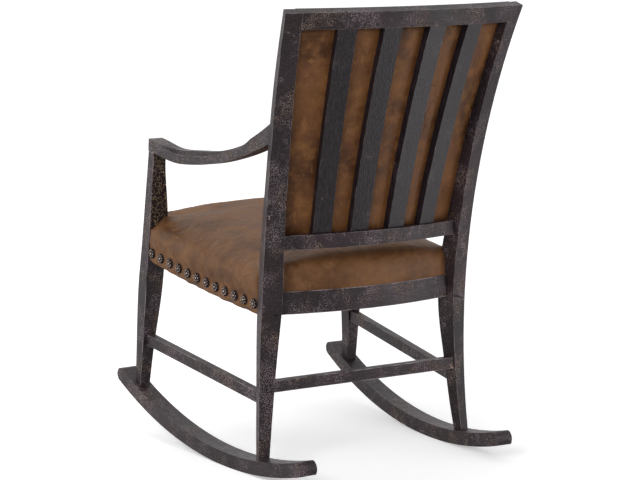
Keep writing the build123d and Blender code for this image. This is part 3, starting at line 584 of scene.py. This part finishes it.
def welded_copy(name):
    """A clean mesh of one part of the frame: welded, its flat faces joined."""
    shape = bmesh.new()
    shape.from_mesh(nodes[name].data)
    bmesh.ops.remove_doubles(shape, verts=shape.verts, dist=weld_distance)
    bmesh.ops.dissolve_limit(shape, angle_limit=flat_angle, verts=shape.verts, edges=shape.edges,
                             use_dissolve_boundaries=False)
    return shape


def new_piece(name, shape, *materials):
    """Turn a bmesh into a piece that rides on the chair."""
    mesh = bpy.data.meshes.new(name)
    shape.to_mesh(mesh)
    shape.free()
    for material in materials:
        mesh.materials.append(material)
    piece = bpy.data.objects.new(name, mesh)
    scene.collection.objects.link(piece)
    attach(piece, "root")
    return piece


def smooth_by_angle(mesh, angle):
    """Shade smooth, with edges kept sharp past an angle."""
    mesh.shade_smooth()
    mesh.set_sharp_from_angle(angle=angle)


def eased(name, body, rubbed):
    """A painted part with rounded edges, in place of its solid."""
    piece = new_piece(f"{name}_painted", welded_copy(name), body, rubbed)
    smooth_by_angle(piece.data, sharp_angle)
    bevel = piece.modifiers.new("eased_edges", "BEVEL")
    bevel.width = edge_radius
    bevel.segments = 2
    bevel.limit_method = "ANGLE"
    bevel.angle_limit = sharp_angle
    bevel.material = 1
    bevel.harden_normals = True
    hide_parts(name)
    return piece


for name, axis in grain_of.items():
    eased(name, paint_finishes[axis], rubbed_finishes[axis])
for name in sorted(n for n, s in slot_of.items() if s == "slat_paint"):
    eased(name, slat_finish, slat_rubbed)
print("painted parts:", len(grain_of) + 4)

# %% [markdown]
# ## Gold crackle above the seat
# On the backs of the front legs, above the seat, the under coat shows gold through a wide
# crackle. The leg's mesh is cut across at the height of the seat, and the faces above it that
# look rearwards take a finish of their own.

# %% Gold crackle on the front legs
stump_base = 0.505
facing_back = 0.7


def gild(name):
    """Give the back of one leg, above the seat, its gold crackle."""
    piece = bpy.data.objects[f"{name}_painted"]
    shape = bmesh.new()
    shape.from_mesh(piece.data)
    everything = shape.verts[:] + shape.edges[:] + shape.faces[:]
    bmesh.ops.bisect_plane(shape, geom=everything, plane_co=(0, 0, stump_base), plane_no=(0, 0, 1))
    for face in shape.faces:
        if face.normal.y > facing_back and face.calc_center_median().z > stump_base:
            face.material_index = 2
    shape.to_mesh(piece.data)
    shape.free()
    piece.data.materials.append(stump_finish)


for name in ("front_leg_left", "front_leg_right"):
    gild(name)
print("gilded the backs of the front legs above", stump_base, "m")

# %% [markdown]
# ## Soft goods
# Leather over foam is modelled as what it is. Leather, foam and whatever the leather wraps are
# joined and remeshed into one closed body, Blender's cloth is blown up gently inside a
# limit, and the result is cut back to a skin of the leather's own thickness. Points near wood
# and nails are pinned, as tacks and glue hold them there.

# %% Helpers for soft goods
skin = 0.0022


def joined_mesh(names):
    """The named parts of the frame in one bmesh."""
    shape = bmesh.new()
    for name in names:
        shape.from_mesh(nodes[name].data)
    bmesh.ops.remove_doubles(shape, verts=shape.verts, dist=weld_distance)
    return shape


def apply_modifiers(piece):
    """Bake a piece's modifiers into its mesh."""
    graph = bpy.context.evaluated_depsgraph_get()
    graph.update()
    baked = bpy.data.meshes.new_from_object(piece.evaluated_get(graph))
    old = piece.data
    piece.modifiers.clear()
    piece.data = baked
    bpy.data.meshes.remove(old)


def wood_tree(names):
    """A search tree of the wood that leather must stay clear of."""
    shape = joined_mesh(names)
    tree = BVHTree.FromBMesh(shape)
    shape.free()
    return tree


def remeshed(piece, voxel):
    """Give a piece an even skin of small faces."""
    remesh = piece.modifiers.new("even_skin", "REMESH")
    remesh.mode = "VOXEL"
    remesh.voxel_size = voxel
    apply_modifiers(piece)


def blown_up(piece, held, out_limit, in_limit, pressure, frames=20):
    """Puff a piece up with cloth, hold some points, and cap how far the others move.

    The three functions take a point: held says whether it is pinned, and the limits how
    far it may move out or in along its normal, in metres.
    """
    start = [(v.co.copy(), v.normal.copy()) for v in piece.data.vertices]
    pins = piece.vertex_groups.new(name="pins")
    pins.add([index for index, (point, normal) in enumerate(start) if held(point)], 1.0, "REPLACE")
    cloth = piece.modifiers.new("cloth", "CLOTH")
    settings = cloth.settings
    settings.quality = 6
    settings.mass = 0.4
    settings.tension_stiffness = 18
    settings.compression_stiffness = 18
    settings.shear_stiffness = 8
    settings.bending_stiffness = 1.2
    settings.use_pressure = True
    settings.uniform_pressure_force = pressure
    settings.vertex_group_mass = "pins"
    settings.effector_weights.gravity = 0
    cloth.collision_settings.use_collision = False
    for count in range(1, frames + 1):
        scene.frame_set(count)
    apply_modifiers(piece)
    scene.frame_set(1)
    for vertex, (point, normal) in zip(piece.data.vertices, start):
        move = (vertex.co - point).dot(normal)
        vertex.co = point + normal * max(-in_limit(point), min(out_limit(point), move))


def smoothed(piece, rounds, factor=0.5):
    """Even out the steps that a remesh leaves."""
    smooth = piece.modifiers.new("smooth", "SMOOTH")
    smooth.iterations = rounds
    smooth.factor = factor
    apply_modifiers(piece)


print("soft goods helpers are ready")

# %% [markdown]
# ## Upholstery nails
# Each nail has a pressed head like a small flower: eight petals round a boss on a dished rim.
# One head is made from squashed spheres and a low cone, and copied to every nail of the
# frame. A nail's axis is measured from its solid, from the end of its shank to the middle of
# its head. A colour attribute holds the height above the leather, so that the finish can be
# dark in the hollows and rubbed bright on the petals.

# %% Where the nails are
shank_length = 0.016
tail_reach = 0.0005


def islands(shape):
    """The separate pieces of a bmesh, as lists of vertices."""
    waiting = set(shape.verts)
    found = []
    while waiting:
        island = [waiting.pop()]
        for vert in island:
            for edge in vert.link_edges:
                other = edge.other_vert(vert)
                if other in waiting:
                    waiting.remove(other)
                    island.append(other)
        found.append(island)
    return found


def middle_of(points):
    """The mean of some points."""
    return sum(points, Vector()) / len(points)


def nail_places(name, outwards):
    """Each nail of a row: the middle of its head on the leather, and its axis."""
    shape = bmesh.new()
    shape.from_mesh(nodes[name].data)
    bmesh.ops.remove_doubles(shape, verts=shape.verts, dist=weld_distance)
    places = []
    for island in islands(shape):
        points = [v.co.copy() for v in island]
        deepest = min(p.dot(outwards) for p in points)
        tail = middle_of([p for p in points if p.dot(outwards) < deepest + tail_reach])
        head = middle_of([p for p in points if p.dot(outwards) > deepest + shank_length * 0.9])
        axis = (head - tail).normalized()
        places.append((tail + axis * shank_length, axis))
    shape.free()
    return places


nail_rows = {
    "side_nails_left": nail_places("side_nails_left", Vector((1, 0, 0))),
    "side_nails_right": nail_places("side_nails_right", Vector((-1, 0, 0))),
    "front_nails": nail_places("front_nails", Vector((0, -1, 0))),
}
for row_name, places in nail_rows.items():
    print(row_name, "has", len(places), "nails")

# %% Aged bronze
bronze_dark = (0.020, 0.014, 0.015)
bronze_bright = (0.62, 0.50, 0.44)


def aged_bronze():
    """Dark bronze, rubbed brighter towards the tops of the petals."""
    material, tree, shader = new_finish("aged_bronze")
    place = object_place(tree)
    height = node(tree, "ShaderNodeVertexColor", {"layer_name": "height"}).outputs["Color"]
    speckle = cloud(tree, place, 650, 3, 0.7)
    rubbed = times(tree, mask(tree, height, 0.62, 0.98), mask(tree, speckle, 0.40, 0.62, 0.2, 1.0))
    link(tree, mixed(tree, rubbed, bronze_dark, bronze_bright), shader.inputs["Base Color"])
    shader.inputs["Metallic"].default_value = 1.0
    link(tree, mask(tree, speckle, 0.3, 0.7, 0.24, 0.42), shader.inputs["Roughness"])
    link(tree, bumped(tree, speckle, 0.0002), shader.inputs["Normal"])
    return material


bronze = aged_bronze()
print("nail finish:", bronze.name)

# %% One rosette head
petal_count = 8
head_radius = 0.0122
head_height = 0.0050
petal_ring = 0.0076
petal_size = (0.0044, 0.0029, 0.0032)
boss_size = (0.0034, 0.0034, 0.0044)


def squashed_ball(shape, size, place, turn=0.0, sides=8, rings=5):
    """Add a ball of the given half sizes, turned about the nail's axis."""
    ball = Matrix.Rotation(turn, 4, "Z") @ Matrix.Translation(place) @ Matrix.Diagonal((*size, 1))
    bmesh.ops.create_uvsphere(shape, u_segments=sides, v_segments=rings, radius=1, matrix=ball)


def rosette():
    """A flower-shaped nail head on the plane z = 0."""
    shape = bmesh.new()
    rim = Matrix.Translation((0, 0, 0.0007))
    bmesh.ops.create_cone(shape, cap_ends=True, segments=24, radius1=head_radius,
                          radius2=head_radius - 0.0016, depth=0.0014, matrix=rim)
    for count in range(petal_count):
        turn = math.tau * count / petal_count
        squashed_ball(shape, petal_size, (petal_ring, 0, 0.0012), turn)
    squashed_ball(shape, boss_size, (0, 0, 0.0012), 0, 10, 6)
    height = shape.verts.layers.float_color.new("height")
    for vert in shape.verts:
        level = max(0.0, min(1.0, vert.co.z / head_height))
        vert[height] = (level, level, level, 1)
    mesh = bpy.data.meshes.new("rosette")
    shape.to_mesh(mesh)
    shape.free()
    return mesh


def nail_row(name, places):
    """All the heads of one row, in place of the plain ones."""
    head = rosette()
    shape = bmesh.new()
    for count, (place, axis) in enumerate(places):
        before = len(shape.verts)
        shape.from_mesh(head)
        shape.verts.ensure_lookup_table()
        turned = axis.to_track_quat("Z", "Y").to_matrix().to_4x4()
        turned = Matrix.Translation(place) @ turned @ Matrix.Rotation(count * 0.7, 4, "Z")
        bmesh.ops.transform(shape, matrix=turned, verts=shape.verts[before:])
    bpy.data.meshes.remove(head)
    piece = new_piece(f"{name}_rosettes", shape, bronze)
    smooth_by_angle(piece.data, math.radians(40))
    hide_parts(name)
    return piece


for row_name, places in nail_rows.items():
    nail_row(row_name, places)

# %% [markdown]
# ## Seat cover
# One hide is pulled over the stuffing, round the posts and the legs, and down over the rails,
# where the nails hold it. It is fullest in the middle and along the shoulders, it dips at
# every nail, and small folds run up from the nails. The remeshed body takes in the rails and
# the dust cover, so that it is closed, and only the outside of it is kept as the hide.

# %% Seat cover: the body and the places that hold it
seat_voxel = 0.007
seat_puff = 0.010
wood_near_seat = ["rear_post_left", "rear_post_right", "front_leg_left", "front_leg_right",
                  "rear_seat_rail", "lower_back_rail"]
seat_body_parts = ["seat_leather", "seat_foam", "side_seat_rail_left", "side_seat_rail_right",
                   "front_seat_rail", "front_corner_block_left", "front_corner_block_right",
                   "back_corner_block_left", "back_corner_block_right", "long_webbing",
                   "cross_webbing", "dust_cover"]
rail_tuck = 0.008
all_nails = [place for places in nail_rows.values() for place, axis in places]
seat_wood_tree = wood_tree(wood_near_seat)
seat_frame_tree = wood_tree(["side_seat_rail_left", "side_seat_rail_right", "front_seat_rail",
                             "cross_webbing", "rear_post_left", "rear_post_right"])
shoulder_sink = 0.017


seat_edge = ((-0.2814, 0.438), (-0.0644, 0.397), (0.1656, 0.3675))
front_edge = 0.443
nail_above_edge = 0.0195


def edge_height(point):
    """Height of the hide's lower edge under a point of the seat."""
    (y0, z0), (y1, z1), (y2, z2) = seat_edge
    y = point.y
    if y < y0:
        return front_edge
    first = z0 * (y - y1) * (y - y2) / ((y0 - y1) * (y0 - y2))
    second = z1 * (y - y0) * (y - y2) / ((y1 - y0) * (y1 - y2))
    third = z2 * (y - y0) * (y - y1) / ((y2 - y0) * (y2 - y1))
    return first + second + third


def nearest_nail(point):
    """The nail nearest to a point, and how far off it is."""
    place = min(all_nails, key=lambda p: (p - point).length_squared)
    return place, (place - point).length


def seat_body():
    """Everything that the hide wraps, as one closed shape."""
    shape = joined_mesh(seat_body_parts)
    before = len(shape.verts)
    shape.from_mesh(nodes["rear_seat_rail"].data)
    shape.verts.ensure_lookup_table()
    bmesh.ops.translate(shape, verts=shape.verts[before:], vec=(0, -rail_tuck, 0))
    return shape


def free_to_move(point):
    """How far the hide may rise at a point."""
    wood = seat_wood_tree.find_nearest(point)[3]
    above = point.z - edge_height(point) - nail_above_edge
    band = max(0.0, min(1.0, (above - 0.014) / 0.05))
    return min(seat_puff, 0.35 * max(0.0, wood - 0.002)) * band


def free_to_sink(point):
    """How far the hide may draw in at a point, short of the rails and the webbing."""
    return min(shoulder_sink, max(0.0, seat_frame_tree.find_nearest(point)[3] - skin))


def held_down(point):
    """Tacked edges and whatever lies against wood don't move."""
    return free_to_move(point) < 0.0012


print("points that hold the hide:", len(all_nails), "nails")

# %% Seat cover: puff it up and keep its outside
def leather_sides(name):
    """A search tree of a leather's faces."""
    shape = bmesh.new()
    shape.from_mesh(nodes[name].data)
    tree = BVHTree.FromBMesh(shape)
    shape.free()
    return tree


def outside_of(piece, name, tolerance):
    """Which vertices lie on the outer side of a leather's solid."""
    tree = leather_sides(name)
    chosen = set()
    for vertex in piece.data.vertices:
        near, facing, index, distance = tree.find_nearest(vertex.co)
        if distance < tolerance and facing.dot(vertex.normal) > 0.2:
            chosen.add(vertex.index)
    return chosen


def keep_only(piece, chosen, rings=0):
    """Cut a piece back to the faces that touch the chosen vertices."""
    shape = bmesh.new()
    shape.from_mesh(piece.data)
    shape.verts.ensure_lookup_table()
    kept = {shape.verts[index] for index in chosen}
    for ring in range(rings):
        kept |= {edge.other_vert(vert) for vert in kept for edge in vert.link_edges}
    spare = [face for face in shape.faces if not any(vert in kept for vert in face.verts)]
    bmesh.ops.delete(shape, geom=spare, context="FACES")
    parts = sorted(islands(shape), key=len)
    bmesh.ops.delete(shape, geom=[vert for part in parts[:-1] for vert in part], context="VERTS")
    shape.to_mesh(piece.data)
    shape.free()


seat_cover = new_piece("seat_cover", seat_body(), seat_hide)
remeshed(seat_cover, seat_voxel)
smoothed(seat_cover, 3)
seat_outside = outside_of(seat_cover, "seat_leather", 0.0035)
print("seat body:", len(seat_cover.data.vertices), "points,", len(seat_outside), "outside")
blown_up(seat_cover, held_down, free_to_move, free_to_sink, 4.0)
keep_only(seat_cover, seat_outside, 2)
print("seat hide:", len(seat_cover.data.polygons), "faces")

# %% Seat cover: folds, dimples and thickness
nail_pitch = 0.0368
dimple_depth = 0.0016
dimple_reach = 0.015
fold_depth = 0.0010
fold_height = 0.055
hem_drop = 0.0050
hem_flare = 0.0012
bulge = 0.005
crown_fall = 0.006
relax_rounds = 24


def subdivided(piece):
    """One round of subdivision, applied."""
    finer = piece.modifiers.new("finer", "SUBSURF")
    finer.levels = 1
    finer.render_levels = 1
    apply_modifiers(piece)


def eased_step(value, low, high):
    """Rises smoothly from 0 at low to 1 at high."""
    share = max(0.0, min(1.0, (value - low) / (high - low)))
    return share * share * (3 - 2 * share)


def hide_waves(point):
    """The slow swells and small creases of a stretched hide, in metres."""
    swell = noise.noise(point * 9) * 0.0016 + noise.noise(point * 23) * 0.0008
    crease = abs(noise.noise(point * 38 + Vector((3, 1, 2))))
    return swell - 0.0010 * max(0.0, 1 - crease / 0.10)


def nail_pull(point):
    """How far the nails pull the hide in at a point."""
    place, distance = nearest_nail(point)
    dimple = dimple_depth * math.exp(-((distance / dimple_reach) ** 2))
    rise = point.z - place.z
    along = math.hypot(point.x - place.x, point.y - place.y)
    fading = eased_step(rise, 0.004, 0.016) * (1 - eased_step(rise, 0.02, fold_height))
    return dimple + fold_depth * fading * math.cos(math.tau * along / nail_pitch)


def moulded(piece, shift):
    """Move every point along its normal by a function of its place and normal."""
    mesh = piece.data
    moves = [v.normal * shift(v.co, v.normal) for v in mesh.vertices]
    for vertex, move in zip(mesh.vertices, moves):
        vertex.co += move


def side_bulge(point, normal):
    """The stuffing pushes the hide out between the nails and the shoulder, not up."""
    above = point.z - edge_height(point) - nail_above_edge
    upright = eased_step(abs(normal.x), 0.55, 0.9)
    return bulge * upright * eased_step(above, 0.010, 0.035)


def top_fall(point, normal):
    """The crown falls away to both sides."""
    return crown_fall * eased_step(abs(point.x), 0.10, 0.27) * eased_step(normal.z, 0.5, 0.95)


def hemmed(piece):
    """Draw the lowest few millimetres of the hide down past the rails' lower edge."""
    moves = []
    for vertex in piece.data.vertices:
        share = 1 - eased_step(vertex.co.z - edge_height(vertex.co), 0.0, 0.010)
        outwards = Vector((vertex.normal.x, vertex.normal.y, 0))
        moves.append((outwards * hem_flare - Vector((0, 0, hem_drop))) * share)
    for vertex, move in zip(piece.data.vertices, moves):
        vertex.co += move


def fullness(point, normal):
    """The stuffing's own shape: out at the sides, down at the ends of the crown."""
    wood = eased_step(seat_wood_tree.find_nearest(point)[3], 0.002, 0.014)
    under = eased_step(-normal.z, 0.4, 0.8)
    return (1 - under) * (side_bulge(point, normal) - wood * top_fall(point, normal))


def slackness(point, normal):
    """How freely the hide rounds itself off: 0 at nails, wood and underneath."""
    wood = eased_step(seat_wood_tree.find_nearest(point)[3], 0.003, 0.018)
    above = point.z - edge_height(point) - nail_above_edge
    return wood * eased_step(above, 0.010, 0.030) * (1 - eased_step(-normal.z, 0.2, 0.6))


def relaxed(piece, freedom, rounds):
    """Round a piece off by smoothing, by as much as each point is free."""
    free = piece.vertex_groups.new(name="free")
    for vertex in piece.data.vertices:
        free.add([vertex.index], freedom(vertex.co, vertex.normal), "REPLACE")
    smooth = piece.modifiers.new("relax", "SMOOTH")
    smooth.iterations = rounds
    smooth.factor = 0.5
    smooth.vertex_group = "free"
    apply_modifiers(piece)


def seat_shift(point, normal):
    """The seat hide's own relief, dying out at wood and underneath."""
    wood = eased_step(seat_wood_tree.find_nearest(point)[3], 0.002, 0.014)
    under = eased_step(-normal.z, 0.4, 0.8)
    band = eased_step(nearest_nail(point)[1], 0.012, 0.035)
    return (1 - under) * wood * (hide_waves(point) * band - nail_pull(point))


def thickened(piece, thickness):
    """Give a hide its thickness, inwards."""
    solid = piece.modifiers.new("thickness", "SOLIDIFY")
    solid.thickness = thickness
    solid.offset = -1
    apply_modifiers(piece)
    piece.data.shade_smooth()


moulded(seat_cover, fullness)
relaxed(seat_cover, slackness, relax_rounds)
subdivided(seat_cover)
moulded(seat_cover, seat_shift)
hemmed(seat_cover)
thickened(seat_cover, skin)
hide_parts("seat_leather", "seat_foam")
print("seat cover:", len(seat_cover.data.polygons), "faces")

# %% [markdown]
# ## Inside back
# The sitter's side of the back is a board with foam on it, wrapped in the same hide. It is a
# long shallow cushion, full in the middle and drawn down to its border, where the hide is
# tacked to the edge of the board. It is made as the seat cover is, and held at its border and
# against the posts and arms.

# %% Inside back
back_puff = 0.011
wood_near_back = ["rear_post_left", "rear_post_right", "arm_left", "arm_right", "top_rail",
                  "lower_back_rail"]
back_wood_tree = wood_tree(wood_near_back)
back_sheet_tree = leather_sides("outside_back_leather")
panel_low, panel_high = (corner.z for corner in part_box("inside_back_leather"))
border_depth = 0.035
side_reach = 0.009
side_start = 0.024
reach_fade = (0.64, 0.76)
back_relax_rounds = 8


def inside_border(point):
    """0 at the panel's lower and upper border, 1 well away from them."""
    from_border = min(point.z - panel_low, panel_high - point.z)
    return eased_step(from_border, 0.004, border_depth)


def back_freedom(point):
    """How far the inside back may swell at a point."""
    depth = back_sheet_tree.find_nearest(point)[3]
    wood = back_wood_tree.find_nearest(point)[3]
    puff = back_puff * eased_step(depth, 0.012, 0.034) * inside_border(point)
    return min(puff, 0.4 * max(0.0, wood - 0.002))


def back_slack(point, normal):
    """How freely the inside back rounds itself off."""
    return eased_step(back_freedom(point), 0.0, 0.003)


def side_width(height):
    """Half the panel's width at a height."""
    share = (height - panel_low) / (panel_high - panel_low)
    return 0.2250 + (0.2707 - 0.2250) * share


def reached_out(piece):
    """Draw the lower part of both side borders out, close to the posts."""
    moves = []
    for vertex in piece.data.vertices:
        point = vertex.co
        edge = eased_step(abs(point.x), side_width(point.z) - side_start, side_width(point.z))
        low_part = 1 - eased_step(point.z, *reach_fade)
        moves.append(Vector((math.copysign(side_reach * edge * low_part, point.x), 0, 0)))
    for vertex, move in zip(piece.data.vertices, moves):
        vertex.co += move


def back_held(point):
    """The border and the back of the panel are tacked to the board."""
    return back_freedom(point) < 0.0012


def back_shift(point, normal):
    """Swells and creases of the inside back, and long soft pulls up and down it."""
    wood = eased_step(back_wood_tree.find_nearest(point)[3], 0.002, 0.014)
    pulls = noise.noise(Vector((point.x * 26, point.y * 8, point.z * 3.5))) * 0.0010
    return wood * (hide_waves(point) + pulls)


inside_back = new_piece("inside_back", joined_mesh(["inside_back_leather", "back_foam", "back_board"]), back_hide)
remeshed(inside_back, seat_voxel)
smoothed(inside_back, 3)
back_outside = outside_of(inside_back, "inside_back_leather", 0.0035)
blown_up(inside_back, back_held, back_freedom, back_freedom, 4.0)
keep_only(inside_back, back_outside, 2)
relaxed(inside_back, back_slack, back_relax_rounds)
subdivided(inside_back)
moulded(inside_back, back_shift)
reached_out(inside_back)
thickened(inside_back, skin)
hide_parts("inside_back_leather", "back_foam")
print("inside back:", len(inside_back.data.polygons), "faces")

# %% [markdown]
# ## Outside back
# Behind the slats the board is covered with a plain sheet of hide, held between the slats and
# the board. It lies flat under the slats and swells a little in the bays between them. The
# solid is a thin bowed sheet, so it is only cut into small faces by planes across and along
# it, and its outer side is moved.

# %% Outside back
bay_swell = 0.0028
sheet_step = 0.011
back_axis = Vector((0, -0.5494, 0))
slat_turns = [math.radians(angle) for angle in (-17.0, -10.35, -3.6, 3.6, 10.35, 17.0)]


def cut_even(shape, normal, start, end, step):
    """Slice a bmesh by a row of parallel planes."""
    count = int((end - start) / step)
    for number in range(1, count):
        plane = Vector(normal) * (start + step * number)
        everything = shape.verts[:] + shape.edges[:] + shape.faces[:]
        bmesh.ops.bisect_plane(shape, geom=everything, plane_co=plane, plane_no=normal, dist=0.00001)


def bay_share(point):
    """0 under a slat and at the border, 1 in the middle of a bay."""
    turn = math.atan2(point.x, point.y - back_axis.y)
    for left, right in zip(slat_turns, slat_turns[1:]):
        if left <= turn <= right:
            return math.sin(math.pi * (turn - left) / (right - left)) ** 1.5
    return 0.0


def sheet_shift(point, normal):
    """The bays swell rearwards; creases run mostly up and down."""
    if normal.y < 0.5:
        return 0.0
    ends = eased_step(point.z, sheet_low, sheet_low + 0.03) * (1 - eased_step(point.z, sheet_high - 0.03, sheet_high))
    pulls = noise.noise(Vector((point.x * 60, point.y * 20, point.z * 9))) * 0.0008
    slack = noise.noise(Vector((point.x * 22, 4, point.z * 12))) * 0.0009
    return bay_share(point) * ends * (bay_swell + pulls + slack)


outside_shape = welded_copy("outside_back_leather")
low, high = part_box("outside_back_leather")
sheet_low, sheet_high = low.z, high.z
cut_even(outside_shape, (0, 0, 1), low.z, high.z, sheet_step)
cut_even(outside_shape, (1, 0, 0), low.x, high.x, sheet_step)
bmesh.ops.triangulate(outside_shape, faces=outside_shape.faces)
outside_back = new_piece("outside_back", outside_shape, back_hide)
moulded(outside_back, sheet_shift)
reached_out(outside_back)
smooth_by_angle(outside_back.data, math.radians(50))
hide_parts("outside_back_leather")
print("outside back:", len(outside_back.data.polygons), "faces")
